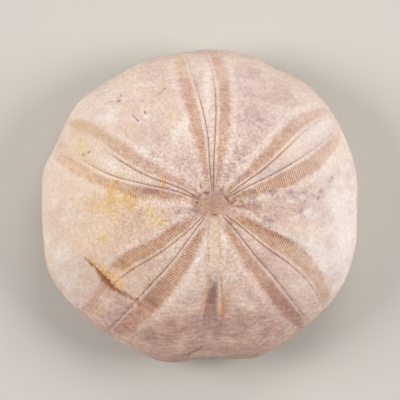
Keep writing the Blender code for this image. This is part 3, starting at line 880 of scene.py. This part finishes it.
limestone = {
    "cream": "#ecd6c6",
    "pink": "#e3c8bd",
    "roughness": 0.85,
    "ior": 1.5,
    "specularLevel": 0.2,      # a powdery surface shines little
    # noises: size in millimetres, detail, roughness, stretch
    "noises": {
        "broad": (10.0, 3.0, 0.5, (1, 1, 1)),
        "patches": (4.0, 5.0, 0.60, (1, 1, 1)),
        "mottles": (1.8, 4.0, 0.65, (1, 1, 1)),
        "fine": (0.75, 3.0, 0.65, (1, 1, 1)),
        "ripples": (1.0, 4.0, 0.65, (0.30, 1, 1)),
        "streaks": (1.2, 3.0, 0.6, (1, 0.12, 1)),
    },
    # colours laid over each other: painted mask, colour, how it blends, noise that breaks it up
    # and how much, where the mask starts and is full, strength
    "coats": (
        ("whole", "#f5e6da", "MIX", "patches", 2.4, (0.95, 1.60), 0.22),
        ("whole", "#cfa99b", "MIX", "mottles", 2.4, (1.00, 1.70), 0.35),
        ("rosy", "#fff0f0", "MULTIPLY", "broad", 0.6, (0.00, 0.95), 1.00),
        ("cool", "#e9dad7", "MIX", "broad", 0.8, (0.10, 0.95), 0.55),
        ("warm", "#f2d8b6", "MIX", "broad", 0.8, (0.05, 0.95), 0.60),
        ("mauve", "#c2a29c", "MIX", "patches", 1.3, (0.15, 0.95), 0.75),
        ("clay", "#b6887c", "MIX", "patches", 0.9, (0.15, 0.95), 0.80),
        ("chalk", "#faf0ec", "MIX", "patches", 1.5, (0.25, 0.95), 0.75),
        ("halo", "#f6e6db", "MIX", "patches", 1.3, (0.15, 0.95), 0.38),
        ("middle", "#f0dbcf", "MIX", "patches", 1.0, (0.35, 0.90), 0.25),
        ("strip", "#efd3b8", "MIX", "streaks", 1.1, (0.00, 1.00), 0.62),
        ("band", "#f0ddd0", "MULTIPLY", "mottles", 1.1, (0.02, 0.98), 0.95),
        ("band", "#dfc19c", "MIX", "patches", 2.2, (0.75, 1.55), 0.40),
        ("olive", "#d2b389", "MIX", "patches", 1.5, (0.25, 0.95), 0.60),
        ("lemon", "#ebcf90", "MIX", "patches", 1.5, (0.25, 0.95), 0.65),
        ("ochre", "#e3b474", "MIX", "patches", 1.9, (0.20, 1.10), 0.75),
        ("blots", "#a38587", "MIX", "mottles", 1.6, (0.30, 0.90), 0.65),
        ("slit", "#bba189", "MULTIPLY", "mottles", 1.5, (0.10, 1.00), 0.68),
        ("ridge", "#f2dccb", "MIX", "mottles", 0.8, (0.20, 0.90), 0.25),
        ("row", "#94694f", "MULTIPLY", "fine", 1.5, (0.15, 0.95), 0.95),
        ("grooveFloor", "#b0867d", "MIX", "streaks", 0.9, (0.00, 1.10), 0.85),
        ("lip", "#cf965a", "MIX", "mottles", 1.8, (0.10, 1.00), 0.85),
        ("stripEdge", "#c39c7c", "MIX", "streaks", 1.6, (0.25, 0.95), 0.35),
        ("crackStain", "#f8c48c", "MIX", "mottles", 2.2, (0.05, 0.95), 0.92),
        # pale cream specks on the broken face: paler grains, partly painted highlight
        ("crackStain", "#ffe6c2", "MIX", "fine", 3.0, (0.85, 1.45), 0.75),
        ("crackStain", "#b87236", "MIX", "mottles", 3.2, (1.00, 1.70), 0.62),
        # brown in the notch: a stain, partly painted shade of the recess
        ("notch", "#b98556", "MIX", "mottles", 1.6, (0.15, 0.90), 0.80),
        ("crackFoot", "#b47239", "MIX", "mottles", 2.2, (0.20, 1.10), 0.75),
        ("silt", "#ab8570", "MIX", "patches", 1.6, (0.25, 1.10), 0.60),
        # dark brown stains, and painted shade beside the break's foot and in the rear fold
        ("umberAndShade", "#9a664a", "MIX", "fine", 2.0, (0.25, 1.00), 0.75),
        # painted shadow in the gap at the break's foot
        ("crackGapShadow", "#935c38", "MIX", "fine", 2.0, (0.20, 1.00), 0.62),
        ("knob", "#d2a479", "MIX", "fine", 0.9, (0.15, 0.90), 0.60),
    ),
    "creamToPink": (0.38, 0.62),           # in the broad noise
    "maskEdge": 0.25,                      # a coat fades where its mask is weaker than this
    # masks that repeat with each slit of the pores, and how much of them does
    "slitShares": {"slit": 1.0, "row": 0.38},
    "slitWander": 0.6,
    "slitEdge": (-0.2, 1.0),
    # small cracks and pits: right, forward to right, forward, half width
    "marks": (
        (-26.2, 29.5, -23.9, 29.5, 0.12), (-23.4, 29.5, -22, 29.8, 0.3), (-15.7, 26.7, -14.9, 25.9, 0.32),
        (-18.9, 25.8, -18, 24.6, 0.2), (-17.9, 24.4, -17, 23.9, 0.3), (-9.8, 33.2, -10.2, 32.9, 0.22),
        (-22.2, 31.2, -21.9, 31, 0.3), (-11.6, 31.6, -11.8, 31.4, 0.22), (-33, 14.5, -32.5, 14.4, 0.26),
        (-31.4, 15, -30.8, 15.5, 0.26), (11.2, 19.6, 11.3, 19.7, 0.42), (12.5, 19.1, 12.6, 19.1, 0.2),
        (14, 20.9, 14.1, 20.9, 0.24), (12.1, 24, 12.2, 24, 0.2), (18.1, 26.6, 18.2, 26.6, 0.2),
        (0.9, 30.8, 0.9, 30.7, 0.2), (3.8, 24.2, 3.9, 24.1, 0.28), (-14.1, -20.4, -14, -20.5, 0.28),
        (-13.4, -23.8, -13.3, -23.8, 0.28), (-31.8, 0.6, -31.7, 0.6, 0.18),
        (-11.1, 22.4, -11, 22.4, 0.18), (-8.8, 21.2, -8.7, 21.2, 0.2), (37.3, 8.3, 37.5, 7.6, 0.3),
        (28.9, -12.5, 30.2, -13.6, 0.14), (19, 12, 19.1, 12.1, 0.18), (31.4, -22.4, 31.5, -22.6, 0.18),
        (-2, 15.5, -2, 15.4, 0.16), (-13.9, -22.2, -13.8, -22.2, 0.24), (6.5, 5.4, 6.6, 5.3, 0.3),
        (9.2, 2.6, 10.2, 1.2, 0.24), (11.6, 1.4, 12.4, 0.9, 0.24), (-1.8, 3, -1.4, 2.4, 0.26),
        (-3.5, 1, -3.4, 0.9, 0.26), (-4, -0.9, -3.9, -1, 0.26), (-1, 4.6, -0.9, 4.5, 0.24),
        (1.5, 3.8, 2.6, 3.7, 0.34), (6.2, 4.6, 6.3, 4.6, 0.42), (7, 2.8, 8.4, 1.2, 0.26),
        (8.9, 0.8, 9, 0.8, 0.38), (0.3, 5.9, 0.4, 5.3, 0.3), (-0.9, 1.2, -0.6, 0.6, 0.3),
        (4, -2.5, 4.8, -2.4, 0.28), (-1.8, 1.9, -1.7, 1.8, 0.28), (-1.3, 0.1, -1.2, 0, 0.3),
        (-0.3, -0.4, -0.2, -0.5, 0.3), (-0.9, -1.1, -0.8, -1.2, 0.28), (0.3, -2.1, 0.3, -2.2, 0.28),
        (10.1, 1.7, 10.3, 1.5, 0.3), (10.5, 0.1, 10.9, -0.1, 0.3), (7.5, -2.7, 7.6, -2.8, 0.26),
        (6.9, 6.4, 7, 6.2, 0.28),
    ),
    "markColour": "#7e5036",
    "markWander": 0.9,
    "markNoise": (1.4, 3.0, 0.6),          # size, detail, roughness
    "markBreaks": (0.32, 0.56),            # in the fine noise, and the strengths there
    "markStrengths": (0.15, 0.9),
    # dark and pale are factors on red, green and blue, where 1 changes nothing
    "pits": {"size": 1.25, "edge": (0.22, 0.08), "patchiness": 2.0, "patches": (1.35, 2.0),
             "dark": (0.50, 0.40, 0.34, 1)},
    # real tubercles are finer and wouldn't show
    "tubercles": {"size": 0.9, "ring": (0.12, 0.5), "tones": (1.07, 0.93), "share": 0.7},
    "grain": {"noise": (0.30, 0.70), "least": 0.28, "nearApex": 0.66,
              "dark": (0.74, 0.68, 0.64, 1), "pale": (1.14, 1.16, 1.17, 1)},
    "folds": {"noise": (0.35, 0.65), "dark": (0.87, 0.82, 0.80, 1), "pale": (1.12, 1.13, 1.13, 1)},
    "bump": {"strength": 0.9, "height": 0.20, "tubercles": -0.4, "marks": -0.3},
}


# Jurassic limestone, replaced shell over hardened lime mud, weathered and iron-stained:
# matt and powdery, cream to pink, with mauve clay in the pores and rust where water ran
def makeLimestone():
    material = bpy.data.materials.new("weatheredFossilLimestone")
    material.use_nodes = True
    tree = material.node_tree
    tree.nodes.clear()
    smooth = {"interpolation_type": "SMOOTHSTEP"}
    mix = {"data_type": "RGBA"}
    darken = {"data_type": "RGBA", "blend_type": "MULTIPLY"}
    multiply = {"operation": "MULTIPLY"}
    multiplyAdd = {"operation": "MULTIPLY_ADD"}
    place = addNode(tree, "TexCoord").outputs["Object"]

    noises = {}
    for name, (size, detail, rough, stretch) in limestone["noises"].items():
        scaled = addNode(tree, "Mapping", {}, {"Vector": place, "Scale": stretch})
        noises[name] = addNode(tree, "TexNoise", {}, {
            "Vector": scaled, "Scale": 1 / (size * millimetre), "Detail": detail, "Roughness": rough})

    # cream turning pink, under all the coats
    pinkness = addNode(tree, "MapRange", smooth, {"Value": noises["broad"], "From": limestone["creamToPink"]})
    colour = addNode(tree, "Mix", mix, {
        "Factor": pinkness, "A": hexToLinear(limestone["cream"]), "B": hexToLinear(limestone["pink"])})

    # a wave with one crest for each slit, its place wandering a little
    wander = limestone["slitWander"]
    slitTurn = addNode(tree, "Attribute", {"attribute_name": "slitTurn"}).outputs["Fac"]
    slitTurn = addNode(tree, "Math", multiplyAdd, {0: noises["mottles"], 1: wander, 2: slitTurn})
    angle = addNode(tree, "Math", multiply, {0: slitTurn, 1: math.tau})
    angle = addNode(tree, "Math", {"operation": "SUBTRACT"}, {0: angle, 1: math.pi * wander})
    slitWave = addNode(tree, "Math", {"operation": "COSINE"}, {0: angle})
    slitWave = addNode(tree, "MapRange", smooth, {"Value": slitWave, "From": limestone["slitEdge"]})

    # the coats
    for mask, over, blending, noise, ragged, (start, full), strength in limestone["coats"]:
        painted = addNode(tree, "Attribute", {"attribute_name": mask}).outputs["Fac"]
        if mask in limestone["slitShares"]:
            slitShare = limestone["slitShares"][mask]
            onSlit = addNode(tree, "Math", multiplyAdd, {0: slitWave, 1: slitShare, 2: 1 - slitShare})
            painted = addNode(tree, "Math", multiply, {0: painted, 1: onSlit})
        broken = addNode(tree, "Math", multiplyAdd, {0: noises[noise], 1: ragged, 2: painted})
        amount = addNode(tree, "MapRange", smooth, {
            "Value": broken, "From": (start + ragged / 2, full + ragged / 2), "To": (0, strength)})
        near = addNode(tree, "MapRange", smooth, {"Value": painted, "From": (0, limestone["maskEdge"])})
        amount = addNode(tree, "Math", multiply, {0: amount, 1: near})
        colour = addNode(tree, "Mix", {"data_type": "RGBA", "blend_type": blending}, {
            "Factor": amount, "A": colour, "B": hexToLinear(over)})

    # listed cracks and pits: each is a thin oval round its two ends, on a wandering place
    inner = addNode(tree, "Attribute", {"attribute_name": "inner"}).outputs["Fac"]
    size, detail, rough = limestone["markNoise"]
    wander = limestone["markWander"] * millimetre
    shift = addNode(tree, "TexNoise", {}, {
        "Vector": place, "Scale": 1 / (size * millimetre), "Detail": detail, "Roughness": rough})
    moved = addNode(tree, "VectorMath", multiplyAdd, {0: shift.outputs["Color"], 1: (wander,) * 3, 2: place})
    flat = addNode(tree, "VectorMath", multiplyAdd, {
        0: moved, 1: (1, 1, 0), 2: (-wander / 2, -wander / 2, 0)})
    marked = 0.0
    for right1, forward1, right2, forward2, halfWidth in limestone["marks"]:
        ends = [addNode(tree, "VectorMath", {"operation": "DISTANCE"}, {
            0: flat, 1: (endRight * millimetre, endForward * millimetre, 0)}).outputs["Value"]
            for endRight, endForward in ((right1, forward1), (right2, forward2))]
        length = math.hypot(right2 - right1, forward2 - forward1)
        edge = math.hypot(length, 2 * halfWidth)
        both = addNode(tree, "Math", {"operation": "ADD"}, {0: ends[0], 1: ends[1]})
        mark = addNode(tree, "MapRange", smooth, {
            "Value": both, "From": (length * millimetre, edge * millimetre), "To": (1, 0)})
        marked = addNode(tree, "Math", {"operation": "MAXIMUM"}, {0: mark, 1: marked})
    top = addNode(tree, "Attribute", {"attribute_name": "top"}).outputs["Fac"]
    breaks = addNode(tree, "MapRange", smooth, {
        "Value": noises["fine"], "From": limestone["markBreaks"], "To": limestone["markStrengths"]})
    marked = addNode(tree, "Math", multiply, {0: marked, 1: top})
    marked = addNode(tree, "Math", multiply, {0: marked, 1: breaks})
    colour = addNode(tree, "Mix", mix, {
        "Factor": marked, "A": colour, "B": hexToLinear(limestone["markColour"])})

    # pits: sparse dark specks, thicker towards the apex
    pits = limestone["pits"]
    specks = addNode(tree, "TexVoronoi", {}, {"Vector": place, "Scale": 1 / (pits["size"] * millimetre)})
    pitted = addNode(tree, "MapRange", smooth, {"Value": specks.outputs["Distance"], "From": pits["edge"]})
    area = addNode(tree, "Math", multiplyAdd, {0: noises["patches"], 1: pits["patchiness"], 2: inner})
    area = addNode(tree, "MapRange", smooth, {"Value": area, "From": pits["patches"]})
    pitted = addNode(tree, "Math", multiply, {0: pitted, 1: area})
    colour = addNode(tree, "Mix", darken, {"Factor": pitted, "A": colour, "B": pits["dark"]})

    # tubercles: pale dots in darker rings
    beads = limestone["tubercles"]
    cells = addNode(tree, "TexVoronoi", {}, {"Vector": place, "Scale": 1 / (beads["size"] * millimetre)})
    dots = addNode(tree, "MapRange", smooth, {
        "Value": cells.outputs["Distance"], "From": beads["ring"], "To": beads["tones"]})
    rippled = addNode(tree, "Attribute", {"attribute_name": "rippled"}).outputs["Fac"]
    colour = addNode(tree, "Mix", darken, {"Factor": beads["share"], "A": colour, "B": dots})

    # grain, strongest near the apex, and folds at the front and rear
    grain = limestone["grain"]
    graininess = addNode(tree, "Math", multiplyAdd, {0: inner, 1: grain["nearApex"], 2: grain["least"]})
    tone = addNode(tree, "MapRange", smooth, {"Value": noises["fine"], "From": grain["noise"]})
    tone = addNode(tree, "Mix", mix, {"Factor": tone, "A": grain["dark"], "B": grain["pale"]})
    colour = addNode(tree, "Mix", darken, {"Factor": graininess, "A": colour, "B": tone})
    folds = limestone["folds"]
    tone = addNode(tree, "MapRange", smooth, {"Value": noises["ripples"], "From": folds["noise"]})
    tone = addNode(tree, "Mix", mix, {"Factor": tone, "A": folds["dark"], "B": folds["pale"]})
    colour = addNode(tree, "Mix", darken, {"Factor": rippled, "A": colour, "B": tone})

    bump = limestone["bump"]
    height = addNode(tree, "Math", multiplyAdd, {
        0: cells.outputs["Distance"], 1: bump["tubercles"], 2: noises["fine"]})
    height = addNode(tree, "Math", multiplyAdd, {0: noises["ripples"], 1: rippled, 2: height})
    height = addNode(tree, "Math", multiplyAdd, {0: marked, 1: bump["marks"], 2: height})
    roughened = addNode(tree, "Bump", {}, {
        "Strength": bump["strength"], "Distance": bump["height"] * millimetre, "Height": height})
    shader = addNode(tree, "BsdfPrincipled", {}, {
        "Base Color": colour, "Roughness": limestone["roughness"], "IOR": limestone["ior"],
        "Specular IOR Level": limestone["specularLevel"], "Normal": roughened})
    addNode(tree, "OutputMaterial", {}, {"Surface": shader})
    return material


say("colouring the stone")
urchin.data.materials.clear()
urchin.data.materials.append(makeLimestone())

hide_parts("fossil_sea_urchin")
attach(urchin, "root")

studio = {
    "floorSize": 40.0,         # metres
    "floor": "#cdc8c0",
    "floorRoughness": 0.9,
    "world": "#f4f2ef",
    "worldStrength": 0.15,
    "ceilingStrength": 0.3,
    "ceilingSpread": 90.0,     # degrees
    "ceilingHeight": 2.0,      # metres
    "cameraHeight": 1.2,       # metres above the widest level
    "viewWidth": 113.9,        # what the camera takes in, at the widest level
    "aim": (0.14, 1.71),       # the point that it looks straight down on
    "sensor": 36.0,
    "clip": (0.1, 100.0),      # metres
}

lamps = {
    # bearing and climb in degrees from the fossil, distance and size in metres, power in watts
    "leftSoftbox": {"bearing": 276, "climb": 36, "distance": 0.9, "size": 0.50, "power": 5.3},
    "rightSoftbox": {"bearing": 86, "climb": 34, "distance": 0.9, "size": 0.50, "power": 5.0},
    "frontSoftbox": {"bearing": 20, "climb": 42, "distance": 0.9, "size": 0.50, "power": 2.1},
}


def makeFloor():
    nothingSelected()
    bpy.ops.mesh.primitive_plane_add(size=studio["floorSize"], location=(0, 0, 0))
    floor = bpy.context.active_object
    floor.name = "studioFloor"
    paper = bpy.data.materials.new("mattBackdropPaper")
    paper.use_nodes = True
    shader = paper.node_tree.nodes["Principled BSDF"]
    shader.inputs["Base Color"].default_value = hexToLinear(studio["floor"])
    shader.inputs["Roughness"].default_value = studio["floorRoughness"]
    floor.data.materials.append(paper)


def makeLights():
    world = bpy.data.worlds.new("studio")
    world.use_nodes = True
    background = world.node_tree.nodes["Background"]
    background.inputs["Color"].default_value = hexToLinear(studio["world"])
    background.inputs["Strength"].default_value = studio["worldStrength"]
    bpy.context.scene.world = world
    for name, lamp in lamps.items():
        bearing = math.radians(lamp["bearing"])
        climb = math.radians(lamp["climb"])
        level = lamp["distance"] * math.cos(climb)
        place = (level * math.sin(bearing), level * math.cos(bearing), lamp["distance"] * math.sin(climb))
        bpy.ops.object.light_add(type="AREA", location=place)
        light = bpy.context.active_object
        light.name = name
        light.data.shape = "DISK"
        light.data.size = lamp["size"]
        light.data.energy = lamp["power"]
        light.rotation_euler = (math.pi / 2 - climb, 0, math.pi - bearing)
        light.visible_camera = False
    # light from the ceiling keeps the far floor as bright as the room behind it
    bpy.ops.object.light_add(type="SUN", location=(0, 0, studio["ceilingHeight"]))
    ceiling = bpy.context.active_object
    ceiling.name = "ceilingLight"
    ceiling.data.energy = studio["ceilingStrength"]
    ceiling.data.angle = math.radians(studio["ceilingSpread"])


def makeCamera():
    height = test["marginHeight"] * millimetre + studio["cameraHeight"]
    right, forward = studio["aim"]
    bpy.ops.object.camera_add(location=(right * millimetre, forward * millimetre, height))
    camera = bpy.context.active_object
    camera.data.sensor_width = studio["sensor"]
    camera.data.lens = studio["sensor"] * studio["cameraHeight"] / (studio["viewWidth"] * millimetre)
    camera.data.clip_start, camera.data.clip_end = studio["clip"]
    camera.rotation_euler = (0, 0, 0)        # straight down
    bpy.context.scene.camera = camera


say("setting up the studio")
makeFloor()
makeLights()
makeCamera()
bpy.context.scene.view_settings.view_transform = "Standard"
